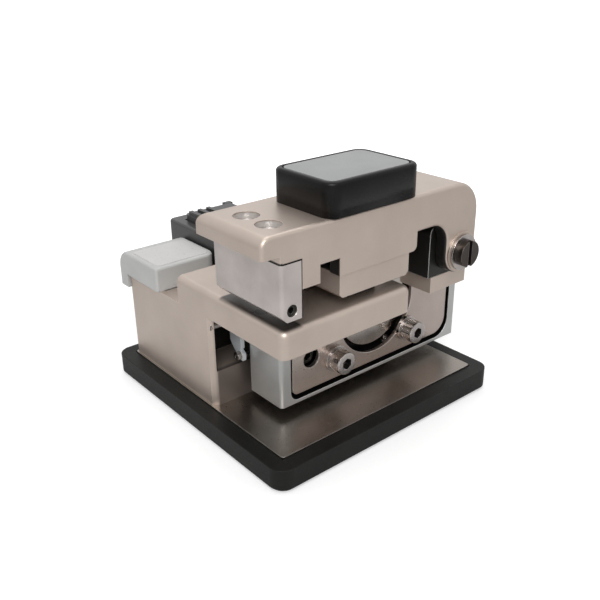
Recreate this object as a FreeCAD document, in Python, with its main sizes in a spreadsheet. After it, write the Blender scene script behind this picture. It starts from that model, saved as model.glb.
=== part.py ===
"""Bench fibre cleaver: a heavy base, a casting with a cantilever deck, a blade slider that runs under the deck,
a hinged clamp arm over it and an off-cut collector on the left.

X runs along the fibre, Y from the user towards the hinge, Z up. The origin is the middle of the underside.
"""
import FreeCAD, Part
import math
import os
import Sketcher

os.makedirs("parts", exist_ok=True)
doc = FreeCAD.newDocument("fibre_cleaver")
sheet = doc.addObject("Spreadsheet::Sheet", "sizes")

# Driving dimensions in millimetres (angles in degrees).
SIZES = {
    # base
    "base_width": 70.0,
    "base_depth": 68.0,
    "base_height": 5.6,
    "base_corner": 3.6,
    "base_rim": 3.7,
    "base_foot_bevel": 0.8,
    "seat_depth": 2.4,
    "seat_gap": 0.1,
    "plate_thickness": 2.8,
    "plate_corner": 0.8,
    # casting
    "body_setback": 4.2,
    "body_inset": 4.7,
    "housing_width": 36.0,
    "housing_depth": 59.0,
    "body_height": 28.7,
    "deck_reach": 25.9,
    "deck_length": 36.3,
    "deck_thickness": 6.2,
    "deck_round": 1.6,
    "deck_corner": 1.8,
    "wall_bevel": 1.2,
    "bridge_setback": 46.6,
    "bridge_reach": 22.4,
    "bridge_height": 26.4,
    "window_setback": 1.1,
    "window_length": 10.4,
    "window_sill": 8.9,
    "window_depth": 9.0,
    "slot_width": 3.0,
    "slot_clearance": 0.8,
    # fibre line and clamp pads
    "fibre_setback": 25.3,
    "lower_pad_height": 0.85,
    "upper_pad_height": 1.7,
    "pad_depth": 8.0,
    "pad_inset": 1.1,
    "fibre_gap": 0.15,
    # slider
    "slider_wall_gap": 2.5,
    "slider_width": 11.3,
    "slider_front": 8.7,
    "slider_length": 58.6,
    "slider_travel": 20.0,
    "slider_floor_gap": 2.3,
    "slider_deck_gap": 0.5,
    "slider_corner": 0.9,
    "frame_rim": 2.8,
    "frame_bottom_rim": 0.8,
    "frame_top_rim": 0.7,
    "frame_pocket": 3.9,
    "frame_left_radius": 2.2,
    "frame_right_radius": 4.6,
    "blade_plate_recess": 0.4,
    "blade_plate_thickness": 1.0,
    "blade_plate_gap": 0.8,
    "blade_plate_low_gap": 1.1,
    "blade_plate_left_radius": 1.5,
    "blade_plate_right_radius": 4.2,
    "blade_window_gap": 1.2,
    # blade
    "blade_radius": 10.8,
    "blade_top_gap": 1.8,
    "blade_thickness": 1.0,
    "blade_plate_air": 0.5,
    "blade_setback": 29.7,
    "blade_over_fibre": 0.1,
    "hub_radius": 3.0,
    "hub_flange": 4.4,
    "hub_head_radius": 3.5,
    "running_gap": 0.05,
    # slider guide
    "rail_height": 6.6,
    "rail_thickness": 3.4,
    "rail_length": 47.0,
    "rail_setback": 10.8,
    "rail_level": 12.0,
    "carriage_length": 24.0,
    "carriage_height": 14.0,
    "carriage_depth": 5.3,
    "carriage_setback": 24.1,
    "guide_gap": 0.08,
    # blade plate screws
    "head_radius": 2.75,
    "head_length": 3.4,
    "washer_radius": 3.2,
    "washer_thickness": 0.9,
    "front_screw_offset": 13.5,
    "rear_screw_offset": 10.3,
    "screw_drop": 9.2,
    "adjuster_radius": 2.2,
    "adjuster_offset": 20.6,
    "adjuster_drop": 6.9,
    # arm
    "arm_width": 21.4,
    "arm_inset": 0.1,
    "arm_lip": 4.4,
    "arm_height": 20.2,
    "arm_wall": 4.4,
    "cheek": 3.0,
    "arm_front_round": 2.3,
    "arm_back_round": 7.5,
    "skirt_height": 12.3,
    "hinge_setback": 52.4,
    "hinge_height": 3.9,
    "boss_radius": 5.1,
    "pin_radius": 1.6,
    "arch_height": 7.9,
    "arch_width": 10.1,
    "arch_round": 4.8,
    "side_slot_front": 9.8,
    "side_slot_width": 5.2,
    "side_slot_height": 3.9,
    # jaw
    "jaw_setback": 0.1,
    "jaw_depth": 5.2,
    "jaw_width": 22.0,
    "jaw_gap": 2.0,
    "jaw_rebate": 6.0,
    "jaw_bevel": 1.3,
    "jaw_round": 0.9,
    "jaw_screw_spacing": 7.1,
    "counterbore_radius": 2.7,
    "counterbore_depth": 3.7,
    "set_screw_radius": 1.25,
    "magnet_radius": 1.4,
    "magnet_shift": 0.6,
    "magnet_height": 4.6,
    "magnet_gap": 0.2,
    # push pad
    "push_pad_width": 18.5,
    "push_pad_depth": 25.4,
    "push_pad_height": 7.1,
    "push_pad_setback": 11.8,
    "push_pad_overhang": 0.5,
    "push_pad_corner": 3.0,
    "push_pad_edge": 0.5,
    "inlay_margin": 1.4,
    "inlay_depth": 0.8,
    "inlay_gap": 0.15,
    # clamp carrier
    "carrier_setback": 15.3,
    "carrier_depth": 20.1,
    "anvil_radius": 1.2,
    "anvil_lift": 0.6,
    "anvil_length": 9.0,
    # hinge post
    "post_depth": 11.4,
    "post_front_round": 2.5,
    "post_round": 5.0,
    "post_head": 6.6,
    "bush_radius": 4.0,
    "bush_thickness": 0.5,
    "pin_head_radius": 3.1,
    "pin_head_length": 1.7,
    "pin_slot": 1.2,
    "washer_ring_radius": 4.2,
    "washer_ring_thickness": 0.6,
    # off-cut bin
    "bin_wall": 1.2,
    "bin_length": 14.6,
    "bin_width": 15.2,
    "bin_pocket_depth": 14.0,
    "bin_gap": 0.3,
    "bin_shell": 1.2,
    "bin_cap_drop": 0.7,
    "bin_cap_thickness": 6.0,
    "bin_cap_round": 4.6,
    "bin_edge_round": 0.7,
    "bin_corner_round": 2.8,
    "finger_channel": 8.0,
    "bin_grip": 4.2,
    "bin_grip_depth": 13.0,
    "bin_front_overhang": 0.7,
    # collector
    "collector_setback": 16.9,
    "collector_length": 21.0,
    "collector_overhang": 8.7,
    "collector_strip": 2.2,
    "collector_floor": 16.0,
    "collector_rise": 2.3,
    "lid_left_inset": 4.0,
    "lid_front_inset": 3.0,
    "lid_right_inset": 2.1,
    "lid_length": 15.6,
    "lid_thickness": 2.4,
    "lid_knuckle": 1.2,
    "rib_height": 0.9,
    "rib_width": 1.1,
    "chamber_width": 10.0,
    "chamber_length": 28.0,
    "feed_roller_radius": 3.3,
    "pinch_roller_radius": 1.0,
    # trip lever
    "lever_thickness": 1.0,
    "lever_setback": 7.8,
    "lever_slider_gap": 0.3,
    "lever_foot_height": 10.0,
    "lever_pivot_drop": 2.6,
    "lever_pivot_radius": 0.9,
    # fasteners
    "body_screw_radius": 1.45,
    "body_screw_head": 2.6,
    "body_screw_head_length": 1.8,
    "body_screw_grip": 6.0,
    "body_screw_inset": 7.0,
    "thread_gap": 0.05,
    "m16_shank": 0.8,
    "m16_head": 1.5,
    "m16_head_length": 1.2,
    "m16_length": 6.0,
    "m25_shank": 1.2,
    "m25_head": 2.1,
    "m25_head_length": 1.8,
    "m25_length": 4.8,
    "post_screw_grip": 3.2,
    "carriage_screw_grip": 2.0,
    "carrier_screw_inset": 2.0,
    "carrier_screw_head": 1.2,
    "hub_screw_length": 5.0,
    "jaw_screw_head": 2.4,
    "jaw_screw_length": 7.7,
    "blade_screw_length": 6.4,
    "flush": 0.1,
}


class Size:
    """A length that keeps both its formula in the sheet and its number."""

    def __init__(self, text, number):
        self.text = text
        self.number = number

    @staticmethod
    def of(value):
        return value if isinstance(value, Size) else Size("(%r)" % float(value), float(value))

    def __add__(self, other):
        other = Size.of(other)
        return Size("(%s + %s)" % (self.text, other.text), self.number + other.number)

    def __sub__(self, other):
        other = Size.of(other)
        return Size("(%s - %s)" % (self.text, other.text), self.number - other.number)

    def __mul__(self, factor):
        factor = Size.of(factor)
        return Size("(%s * %s)" % (self.text, factor.text), self.number * factor.number)

    def __truediv__(self, divisor):
        divisor = Size.of(divisor)
        return Size("(%s / %s)" % (self.text, divisor.text), self.number / divisor.number)

    def __neg__(self):
        return Size("(0 - %s)" % self.text, -self.number)

    def __radd__(self, other):
        return Size.of(other) + self

    def __rsub__(self, other):
        return Size.of(other) - self

    __rmul__ = __mul__


class Sizes:
    """Every driving dimension by name."""


def fill_sheet():
    sizes = Sizes()
    for row, (name, number) in enumerate(SIZES.items(), start=1):
        cell = "A%d" % row
        sheet.set(cell, str(number))
        sheet.setAlias(cell, name)
        setattr(sizes, name, Size("sizes." + name, number))
    doc.recompute()
    return sizes


s = fill_sheet()

# Planes that the pieces share.
base_front = -s.base_depth / 2
base_left = -s.base_width / 2
plate_bottom = s.base_height - s.seat_depth
plate_top = plate_bottom + s.plate_thickness
body_front = base_front + s.body_setback
body_left = base_left + s.body_inset
wall = body_left + s.housing_width
body_back = body_front + s.housing_depth
deck_top = plate_top + s.body_height
deck_under = deck_top - s.deck_thickness
deck_right = wall + s.deck_reach
deck_back = body_front + s.deck_length
bridge_front = body_front + s.bridge_setback
bridge_top = plate_top + s.bridge_height
bridge_right = wall + s.bridge_reach
fibre_line = body_front + s.fibre_setback
fibre_level = deck_top + s.lower_pad_height

slider_left = wall + s.slider_wall_gap
slider_right = slider_left + s.slider_width
slider_front = body_front + s.slider_front
slider_back = slider_front + s.slider_length
slider_bottom = plate_top + s.slider_floor_gap
slider_top = deck_under - s.slider_deck_gap
plate_face = slider_right - s.blade_plate_recess
plate_back_face = plate_face - s.blade_plate_thickness
blade_right = plate_back_face - s.blade_plate_air
blade_left = blade_right - s.blade_thickness
blade_middle = (blade_left + blade_right) / 2
blade_line = slider_front + s.blade_setback
blade_level = fibre_level + s.blade_over_fibre - s.blade_radius
pocket_floor = slider_right - s.frame_pocket

arm_right = deck_right - s.arm_inset
arm_left = arm_right - s.arm_width
arm_front = body_front - s.arm_lip
arm_top = deck_top + s.arm_height
arm_ceiling = arm_top - s.arm_wall
skirt_bottom = arm_top - s.skirt_height
hinge_line = body_front + s.hinge_setback
hinge_level = deck_top + s.hinge_height
arm_back = hinge_line + s.boss_radius
arm_middle = (arm_left + arm_right) / 2
jaw_front = body_front - s.jaw_setback
jaw_back = jaw_front + s.jaw_depth
jaw_bottom = deck_top + s.jaw_gap
jaw_top = arm_top - s.jaw_rebate

collector_front = body_front + s.collector_setback
collector_back = collector_front + s.collector_length
collector_left = body_left - s.collector_overhang
collector_right = wall - s.collector_strip
collector_bottom = plate_top + s.collector_floor
collector_top = deck_top + s.collector_rise

NODES = []


def keep(obj, label):
    """Mark an object as a finished sub-part."""
    obj.Label = label
    NODES.append(obj)
    return obj


def bind(obj, prop, value):
    obj.setExpression(prop, Size.of(value).text)


def place(obj, x, y, z, turn=None):
    if turn is not None:
        obj.Placement = FreeCAD.Placement(FreeCAD.Vector(), turn)
    bind(obj, "Placement.Base.x", x)
    bind(obj, "Placement.Base.y", y)
    bind(obj, "Placement.Base.z", z)
    return obj


def unique(name):
    return name + "_%d" % len(doc.Objects)


# ---------------------------------------------------------------- primitives
TURNS = {
    "+Z": FreeCAD.Rotation(),
    "-Z": FreeCAD.Rotation(FreeCAD.Vector(1, 0, 0), 180),
    "+X": FreeCAD.Rotation(FreeCAD.Vector(0, 1, 0), 90),
    "-X": FreeCAD.Rotation(FreeCAD.Vector(0, 1, 0), -90),
    "+Y": FreeCAD.Rotation(FreeCAD.Vector(1, 0, 0), -90),
    "-Y": FreeCAD.Rotation(FreeCAD.Vector(1, 0, 0), 90),
}


def block(low, high):
    """A box between two corners."""
    obj = doc.addObject("Part::Box", unique("block"))
    for prop, a, b in zip(("Length", "Width", "Height"), low, high):
        bind(obj, prop, b - a if isinstance(b, Size) or isinstance(a, Size) else float(b - a))
    return place(obj, *low)


def rod(start, axis, radius, length):
    """A cylinder from a point along an axis."""
    obj = doc.addObject("Part::Cylinder", unique("rod"))
    bind(obj, "Radius", radius)
    bind(obj, "Height", length)
    return place(obj, *start, turn=TURNS[axis])


def hexagon(start, axis, across, length):
    """A hexagonal prism, used for sockets."""
    obj = doc.addObject("Part::Prism", unique("hexagon"))
    obj.Polygon = 6
    bind(obj, "Circumradius", across)
    bind(obj, "Height", length)
    return place(obj, *start, turn=TURNS[axis])


def fuse(parts):
    obj = doc.addObject("Part::MultiFuse", unique("fuse"))
    obj.Shapes = parts
    obj.Refine = True
    return obj


def cut(base, tools):
    tool = tools[0] if len(tools) == 1 else fuse(tools)
    obj = doc.addObject("Part::Cut", unique("cut"))
    obj.Base = base
    obj.Tool = tool
    return obj


def group(parts):
    obj = doc.addObject("Part::Compound", unique("group"))
    obj.Links = parts
    return obj


def step(start, axis, distance):
    """The point a distance along an axis from a start."""
    moved = list(start)
    index = "XYZ".index(axis[1])
    if axis[0] == "+":
        moved[index] = moved[index] + distance
    else:
        moved[index] = moved[index] - distance
    return tuple(moved)


def socket_screw(head_top, axis, head_radius, head_length, shank_radius, shank_length):
    """A socket cap screw; axis points from the head's outer face into the work."""
    seat = step(head_top, axis, head_length)
    head = rod(head_top, axis, head_radius, head_length)
    shank = rod(seat, axis, shank_radius, shank_length)
    socket = hexagon(head_top, axis, head_radius * 0.5, head_length * 0.55)
    return cut(fuse([head, shank]), [socket])


# ---------------------------------------------------------------- bodies
def new_body(label):
    body = doc.addObject("PartDesign::Body", label)
    return keep(body, label)


def sketch_on(body, role, level=0.0):
    """A sketch parallel to one of the body's own planes; level is measured along that plane's normal."""
    sketch = body.newObject("Sketcher::SketchObject", unique("sketch"))
    plane = [f for f in body.Origin.OriginFeatures if f.Role == role][0]
    sketch.AttachmentSupport = [(plane, "")]
    sketch.MapMode = "FlatFace"
    bind(sketch, "AttachmentOffset.Base.z", level)
    return sketch


def hold(sketch, kind, item, point, value):
    """Tie one coordinate of a sketch point, or a radius, to a formula."""
    value = Size.of(value)
    if kind == "Radius":
        index = sketch.addConstraint(Sketcher.Constraint(kind, item, value.number))
    else:
        index = sketch.addConstraint(Sketcher.Constraint(kind, -1, 1, item, point, value.number))
    name = "size%d" % index
    sketch.renameConstraint(index, name)
    sketch.setExpression("Constraints." + name, value.text)


def outline(sketch, points):
    """A closed outline of straight lines through points."""
    points = [(Size.of(x), Size.of(y)) for x, y in points]
    first = sketch.GeometryCount
    count = len(points)
    for i in range(count):
        (ax, ay), (bx, by) = points[i], points[(i + 1) % count]
        start = FreeCAD.Vector(ax.number, ay.number, 0)
        end = FreeCAD.Vector(bx.number, by.number, 0)
        sketch.addGeometry(Part.LineSegment(start, end))
    for i in range(count):
        after = first + (i + 1) % count
        sketch.addConstraint(Sketcher.Constraint("Coincident", first + i, 2, after, 1))
    for i, (x, y) in enumerate(points):
        hold(sketch, "DistanceX", first + i, 1, x)
        hold(sketch, "DistanceY", first + i, 1, y)


def rectangle(sketch, x0, y0, x1, y1):
    outline(sketch, [(x0, y0), (x1, y0), (x1, y1), (x0, y1)])


def circle(sketch, x, y, radius):
    x, y, radius = Size.of(x), Size.of(y), Size.of(radius)
    centre = FreeCAD.Vector(x.number, y.number, 0)
    item = sketch.addGeometry(Part.Circle(centre, FreeCAD.Vector(0, 0, 1), radius.number))
    hold(sketch, "DistanceX", item, 3, x)
    hold(sketch, "DistanceY", item, 3, y)
    hold(sketch, "Radius", item, 0, radius)


def pad(body, sketch, length, backwards=False):
    feature = body.newObject("PartDesign::Pad", unique("pad"))
    feature.Profile = sketch
    feature.Reversed = backwards
    bind(feature, "Length", length)
    doc.recompute()
    return feature


def pocket(body, sketch, length, backwards=False):
    """Cut a sketch into the body; stops with a message when nothing is removed."""
    doc.recompute()
    before = body.Shape.Volume
    feature = body.newObject("PartDesign::Pocket", unique("pocket"))
    feature.Profile = sketch
    feature.Reversed = backwards
    bind(feature, "Length", length)
    doc.recompute()
    if not body.Shape.Volume < before:
        raise RuntimeError("a pocket of %s cuts nothing" % body.Label)
    return feature


def pad_box(body, low, high):
    """Add the box between two corners to a body."""
    sketch = sketch_on(body, "XY_Plane", low[2])
    rectangle(sketch, low[0], low[1], high[0], high[1])
    return pad(body, sketch, high[2] - low[2])


def pocket_box(body, low, high):
    """Remove the box between two corners from a body."""
    sketch = sketch_on(body, "XY_Plane", low[2])
    rectangle(sketch, low[0], low[1], high[0], high[1])
    return pocket(body, sketch, high[2] - low[2], backwards=True)


def pocket_bore(body, role, level, x, y, radius, length, backwards=False):
    sketch = sketch_on(body, role, level)
    circle(sketch, x, y, radius)
    return pocket(body, sketch, length, backwards)


def edges(body, along, x=None, y=None, z=None):
    """Names of the body's edges along an axis whose middles lie on the given planes."""
    names = []
    for number, edge in enumerate(body.Shape.Edges, start=1):
        low, high = edge.Vertexes[0].Point, edge.Vertexes[-1].Point
        span = high - low
        if span.Length < 1e-6 or abs(abs(getattr(span, along)) - span.Length) > 1e-6:
            continue
        middle = (low + high) * 0.5
        wanted = ((middle.x, x), (middle.y, y), (middle.z, z))
        if all(want is None or abs(have - Size.of(want).number) < 1e-4 for have, want in wanted):
            names.append("Edge%d" % number)
    return names


def round_edges(body, names, radius):
    if not names:
        raise RuntimeError("no edge to round on %s" % body.Label)
    feature = body.newObject("PartDesign::Fillet", unique("fillet"))
    feature.Base = (feature.BaseFeature, names)
    bind(feature, "Radius", radius)
    doc.recompute()
    return feature


def bevel_edges(body, names, size):
    if not names:
        raise RuntimeError("no edge to bevel on %s" % body.Label)
    feature = body.newObject("PartDesign::Chamfer", unique("chamfer"))
    feature.Base = (feature.BaseFeature, names)
    bind(feature, "Size", size)
    doc.recompute()
    return feature


# ---------------------------------------------------------------- base
def corners(left, right, front, back, inset):
    """Four points a distance in from the corners of a rectangle."""
    return [(x, y) for x in (left + inset, right - inset) for y in (front + inset, back - inset)]


seat_left = base_left + s.base_rim
seat_front = base_front + s.base_rim
plate_left = seat_left + s.seat_gap
plate_front = seat_front + s.seat_gap
body_screws = corners(body_left, wall, body_front, body_back, s.body_screw_inset)
zero = Size.of(0)

rubber_base = new_body("rubber_base")
pad_box(rubber_base, (base_left, base_front, zero), (-base_left, -base_front, s.base_height))
round_edges(rubber_base, edges(rubber_base, "z"), s.base_corner)
foot_edges = ["Edge%d" % n for n, e in enumerate(rubber_base.Shape.Edges, start=1) if e.BoundBox.ZMax < 1e-6]
bevel_edges(rubber_base, foot_edges, s.base_foot_bevel)
pocket_box(rubber_base, (seat_left, seat_front, plate_bottom), (-seat_left, -seat_front, s.base_height))
for x, y in body_screws:
    pocket_bore(rubber_base, "XY_Plane", zero, x, y, s.body_screw_head + 0.6, plate_bottom, backwards=True)

base_plate = new_body("base_plate")
pad_box(base_plate, (plate_left, plate_front, plate_bottom), (-plate_left, -plate_front, plate_top))
round_edges(base_plate, edges(base_plate, "z"), s.plate_corner)
plate_hole = s.body_screw_radius + 0.15
for x, y in body_screws:
    pocket_bore(base_plate, "XY_Plane", plate_bottom, x, y, plate_hole, s.plate_thickness, backwards=True)

base_screws = []
for x, y in body_screws:
    head = (x, y, plate_bottom - s.body_screw_head_length)
    shank = s.plate_thickness + s.body_screw_grip
    base_screws.append(
        socket_screw(head, "+Z", s.body_screw_head, s.body_screw_head_length, s.body_screw_radius, shank)
    )
keep(group(base_screws), "base_screws")

# ---------------------------------------------------------------- casting
slot_left = blade_left - s.slot_clearance - 0.2
slot_right = slot_left + s.slot_width
slot_front = blade_line - s.slider_travel - s.blade_radius
bin_back = body_front + s.bin_wall + s.bin_pocket_depth
bin_right = body_left + s.bin_length + 0.5
bin_floor = plate_top + 10
window_front = body_front + s.window_setback
bridge_slot_back = blade_line + s.blade_radius + s.slot_clearance
collector_shelf = collector_bottom
post_left = arm_left + s.cheek + s.bush_thickness
post_right = arm_right - s.cheek - s.bush_thickness
post_front = hinge_line - s.post_depth / 2 - 1.0
post_back = hinge_line + s.post_depth / 2 - 0.2
post_screw_spots = [(x, hinge_line + 0.5) for x in (post_left + 6.6, post_right - 2.6)]

main_body = new_body("main_body")
pad_box(main_body, (body_left, body_front, plate_top), (wall, body_back, deck_top))
pad_box(main_body, (wall - 1, body_front, deck_under), (deck_right, deck_back, deck_top))
round_edges(main_body, edges(main_body, "z", x=deck_right), s.deck_corner)
round_edges(main_body, edges(main_body, "x", y=body_front, z=deck_top), s.deck_round)
bevel_edges(main_body, edges(main_body, "z", x=wall, y=body_front), s.wall_bevel)
pad_box(main_body, (wall - 1, bridge_front, deck_under), (bridge_right, body_back, bridge_top))
# recess for the off-cut bin, open to the left and above
pocket_box(
    main_body,
    (body_left - 1, body_front + s.bin_wall, bin_floor),
    (bin_right, bin_back, deck_top + 1),
)
# lowered corner under the bin's cap, with a finger channel beside it
pocket_box(
    main_body,
    (body_left - 1, body_front - 1, deck_top - s.bin_cap_drop - s.bin_cap_thickness),
    (bin_right + s.finger_channel, collector_front, deck_top + 1),
)
# shelf for the collector
pocket_box(
    main_body,
    (body_left - 1, collector_front - 0.1, collector_shelf),
    (collector_right + 0.1, collector_back + 0.1, deck_top + 1),
)
# opening for the trip lever in the wall under the deck
pocket_box(
    main_body,
    (wall - s.window_depth, window_front, plate_top + s.window_sill),
    (wall + 1, window_front + s.window_length, deck_under),
)
# the blade comes up through the deck and the bridge
pocket_box(main_body, (slot_left, slot_front, deck_under - 1), (slot_right, deck_back + 1, deck_top + 1))
pocket_box(
    main_body,
    (slot_left, bridge_front - 1, deck_under - 1),
    (slot_right, bridge_slot_back, bridge_top + 1),
)
body_thread = s.body_screw_radius + s.thread_gap
for x, y in body_screws:
    pocket_bore(main_body, "XY_Plane", plate_top, x, y, body_thread, s.body_screw_grip + 0.2, backwards=True)
magnet_y = (jaw_front + jaw_back) / 2 + s.magnet_shift
pocket_bore(main_body, "XY_Plane", deck_top, arm_middle, magnet_y, s.magnet_radius + s.thread_gap, 2.0)
rail_bottom = plate_top + s.rail_level - s.rail_height / 2
rail_top = rail_bottom + s.rail_height
rail_front = body_front + s.rail_setback
rail_middle = (rail_bottom + rail_top) / 2
rail_screw_spots = [rail_front + s.rail_length * f for f in (0.12, 0.5, 0.88)]
for y in rail_screw_spots:
    pocket_bore(
        main_body, "YZ_Plane", wall, y, rail_middle, s.m16_shank + s.thread_gap, s.m16_length,
    )
for x, y in post_screw_spots:
    pocket_bore(main_body, "XY_Plane", deck_under - 1, x, y, 1.3, bridge_top - deck_under + 2, backwards=True)
    pocket_bore(main_body, "XY_Plane", deck_under - 1, x, y, 2.35, 3.0, backwards=True)
# chute from the collector into the off-cut bin
chute_left = body_left + 4.5
chute_right = chute_left + 8
chute_bottom = collector_bottom + 4
chute_top = chute_bottom + 4.6
pocket_box(main_body, (chute_left, bin_back - 1, chute_bottom), (chute_right, collector_front + 1, chute_top))
for y, backwards in ((window_front, True), (window_front + s.window_length, False)):
    pocket_bore(
        main_body, "XZ_Plane", -y, wall - 1.3, deck_under - s.lever_pivot_drop,
        s.lever_pivot_radius + s.thread_gap, 0.6, backwards,
    )

slide_rail = new_body("slide_rail")
pad_box(
    slide_rail,
    (wall, rail_front, rail_bottom),
    (wall + s.rail_thickness, rail_front + s.rail_length, rail_top),
)
groove_bottom = rail_bottom + 1.0
for z in (rail_bottom, rail_top - 0.9):
    pocket_box(
        slide_rail,
        (wall + 1.1, rail_front - 1, z - 0.1 if z is rail_bottom else z),
        (wall + 2.1, rail_front + s.rail_length + 1, z + (0.9 if z is rail_bottom else 1.0)),
    )
rail_face = wall + s.rail_thickness
head_seat = (s.m16_head + s.flush, s.m16_head_length + s.flush)
small_thread = s.m16_shank + s.thread_gap
for y in rail_screw_spots:
    pocket_bore(slide_rail, "YZ_Plane", rail_face, y, rail_middle, *head_seat)
    pocket_bore(slide_rail, "YZ_Plane", rail_face, y, rail_middle, small_thread, s.rail_thickness)

small_screw = (s.m16_head, s.m16_head_length, s.m16_shank)
rail_screws = []
for y in rail_screw_spots:
    head = (wall + s.rail_thickness - s.flush, y, rail_middle)
    rail_screws.append(socket_screw(head, "-X", *small_screw, s.m16_length))
keep(group(rail_screws), "rail_screws")

# ---------------------------------------------------------------- clamp pads and keeper on the deck
pad_front = fibre_line - s.pad_depth / 2
pad_back = fibre_line + s.pad_depth / 2
left_pad_span = (wall + s.pad_inset + 4.0, slot_left - 0.9)
right_pad_span = (slot_right + 0.9, deck_right - 4.6)


def clamp_pad(span, low, high, groove_z):
    """One rubber-faced clamp pad with a shallow V along the fibre."""
    body = block((span[0], pad_front, low), (span[1], pad_back, high))
    groove = rod((span[0] - 1, fibre_line, groove_z), "+X", 0.2, span[1] - span[0] + 2)
    return cut(body, [groove])


lower = [clamp_pad(span, deck_top, fibre_level, fibre_level) for span in (left_pad_span, right_pad_span)]
keep(group(lower), "lower_pads")

keeper = rod((arm_middle, magnet_y, deck_top), "-Z", s.magnet_radius, 1.9)
keep(keeper, "keeper_plate")

# ---------------------------------------------------------------- off-cut bin
bin_outer_left = base_left + 0.4
cap_top = deck_top - s.bin_cap_drop
cap_bottom = cap_top - s.bin_cap_thickness
cap_front = body_front - s.bin_front_overhang
cap_back = body_front + s.bin_wall + s.bin_width
cap_right = bin_right - s.bin_gap
grip_bottom = cap_top - s.bin_grip_depth
offcut_bin = new_body("offcut_bin")
pad_box(offcut_bin, (bin_outer_left, cap_front, cap_bottom), (cap_right, cap_back, cap_top))
pad_box(
    offcut_bin,
    (bin_outer_left, cap_front, grip_bottom),
    (bin_outer_left + s.bin_grip - s.bin_gap, cap_back, cap_top),
)
round_edges(offcut_bin, edges(offcut_bin, "y", x=bin_outer_left, z=cap_top), s.bin_cap_round)
round_edges(offcut_bin, edges(offcut_bin, "z", x=cap_right, y=cap_back), s.bin_corner_round)
round_edges(offcut_bin, edges(offcut_bin, "z", x=cap_right, y=cap_front), s.bin_edge_round)
round_edges(offcut_bin, edges(offcut_bin, "x", y=cap_front, z=cap_top), s.bin_edge_round)
pad_box(
    offcut_bin,
    (body_left - 0.9, body_front + s.bin_wall + s.bin_gap, bin_floor + s.bin_gap),
    (cap_right - 0.5, bin_back - s.bin_gap, cap_bottom + 1),
)
pocket_box(
    offcut_bin,
    (
        body_left + s.bin_shell,
        body_front + s.bin_wall + s.bin_gap + s.bin_shell,
        bin_floor + s.bin_gap + s.bin_shell,
    ),
    (cap_right - 0.5 - s.bin_shell, bin_back - s.bin_gap - s.bin_shell, cap_top - 1.4),
)
# off-cuts drop in from the collector side
pocket_box(
    offcut_bin,
    (chute_left, bin_back - s.bin_gap - s.bin_shell - 1, chute_bottom),
    (chute_right, cap_back + 1, chute_top),
)

bin_label = block(
    (bin_outer_left + s.bin_cap_round + 0.8, cap_front + 1.2, cap_top),
    (cap_right - 1.2, cap_back - 1.4, cap_top + 0.12),
)
keep(bin_label, "bin_label")

# ---------------------------------------------------------------- collector
lid_left = collector_left + s.lid_left_inset
lid_front = collector_front + s.lid_front_inset
lid_right = collector_right - s.lid_right_inset
lid_width = lid_right - lid_left
lid_back = lid_front + s.lid_length
chamber_front = fibre_line - s.chamber_width / 2 - 1.0
chamber_back = chamber_front + s.chamber_width + 1.0
chamber_right = collector_right - 2.6
chamber_left = chamber_right - s.chamber_length
lid_seat = collector_top - 0.9

collector_housing = new_body("collector_housing")
pad_box(
    collector_housing,
    (collector_left, collector_front, collector_bottom),
    (collector_right, collector_back, collector_top),
)
round_edges(collector_housing, edges(collector_housing, "z", x=collector_left), 1.6)
round_edges(
    collector_housing,
    edges(collector_housing, "x", y=collector_front, z=collector_top)
    + edges(collector_housing, "x", y=collector_back, z=collector_top),
    0.7,
)
pocket_box(
    collector_housing,
    (lid_left - 0.2, lid_front - 0.2, lid_seat),
    (lid_right + 0.2, lid_back + 0.2, collector_top + 1),
)
pocket_box(
    collector_housing,
    (chamber_left, chamber_front, collector_bottom + 4),
    (chamber_right, chamber_back, collector_top + 1),
)
# the fibre end enters through the right wall
pocket_box(
    collector_housing,
    (chamber_right - 1, fibre_line - 2.0, fibre_level - 2.0),
    (collector_right + 1, fibre_line + 2.0, collector_top + 1),
)
pocket_box(
    collector_housing,
    (chute_left, collector_front - 1, chute_bottom),
    (chute_right, chamber_front + 1, chute_top),
)
feed_axis_z = fibre_level - 0.1 - s.feed_roller_radius
pinch_axis_z = fibre_level + 0.1 + s.pinch_roller_radius
roller_x = chamber_right - 3.9
roller_front = chamber_front + 0.5
roller_length = chamber_back - chamber_front - 1.0
pocket_bore(
    collector_housing, "XZ_Plane", -(chamber_front - 1.6), roller_x, feed_axis_z, 0.8 + s.running_gap,
    chamber_back - chamber_front + 3.2,
)
# ears that carry the lid pin
pivot_y = lid_back - s.lid_knuckle
pivot_z = lid_seat + 0.1 + s.lid_knuckle
for left in (lid_left - 1.8, lid_right + 0.2):
    pad_box(
        collector_housing,
        (left, pivot_y - 1.2, collector_top - 0.5),
        (left + 1.6, pivot_y + 1.2, pivot_z + 1.2),
    )
pocket_bore(collector_housing, "YZ_Plane", lid_right + 1.3, pivot_y, pivot_z, 0.55, lid_width + 2.5)

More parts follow.
